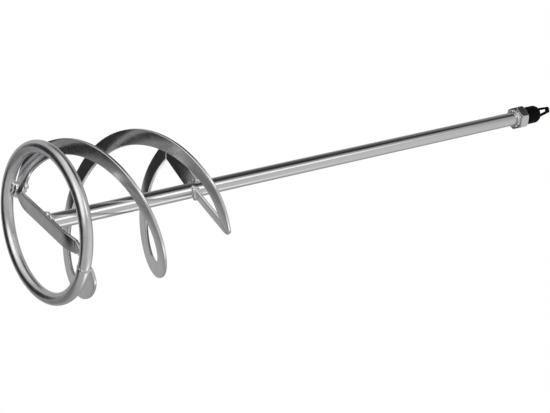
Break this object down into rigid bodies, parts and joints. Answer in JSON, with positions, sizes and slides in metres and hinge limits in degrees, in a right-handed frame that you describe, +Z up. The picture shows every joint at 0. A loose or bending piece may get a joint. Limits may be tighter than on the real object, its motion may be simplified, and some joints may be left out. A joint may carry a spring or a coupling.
{
  "type": "mortar mixing paddle",
  "caption": "Mixing paddle for mortar: threaded shaft, round-bar ring, crossbar and twin flat-bar helices with spokes, welded and plated, with a pull-off thread cap.",
  "frame": {"origin": "on the shaft's axis, level with the ring's lowest point", "axes": "+Z up the shaft to the drive thread, +X along the crossbar to the foot of helix A"},
  "size_m": [0.1401, 0.1396, 0.6169],
  "materials": {
    "plated_bar": "bright zinc plated, satin gloss",
    "plated_flat": "bright zinc plated, satin gloss",
    "plated_nut": "bright zinc plated",
    "weld_bead": "lumpy weld, zinc plated",
    "black_cap": "matt black soft plastic"
  },
  "bodies": {
    "paddle": {"shaft": "plated_bar", "hex_nut": "plated_nut", "ring": "plated_bar", "crossbar": "plated_flat", "helix_a": "plated_flat", "helix_b": "plated_flat", "spoke_a": "plated_flat", "spoke_b": "plated_flat", "weld_nut": "weld_bead", "weld_shaft_foot": "weld_bead", "weld_ring_a": "weld_bead", "weld_ring_b": "weld_bead", "weld_ring_seam": "weld_bead", "weld_spoke_a": "weld_bead", "weld_spoke_b": "weld_bead", "weld_corner_a": "weld_bead", "weld_corner_b": "weld_bead"},
    "cap": {"thread_cap": "black_cap"}
  },
  "joints": [
    {"name": "cap_slide", "type": "slide", "parent": "paddle", "child": "cap", "axis": [0, 0, 1], "range_m": [0, 0.08]}
  ]
}
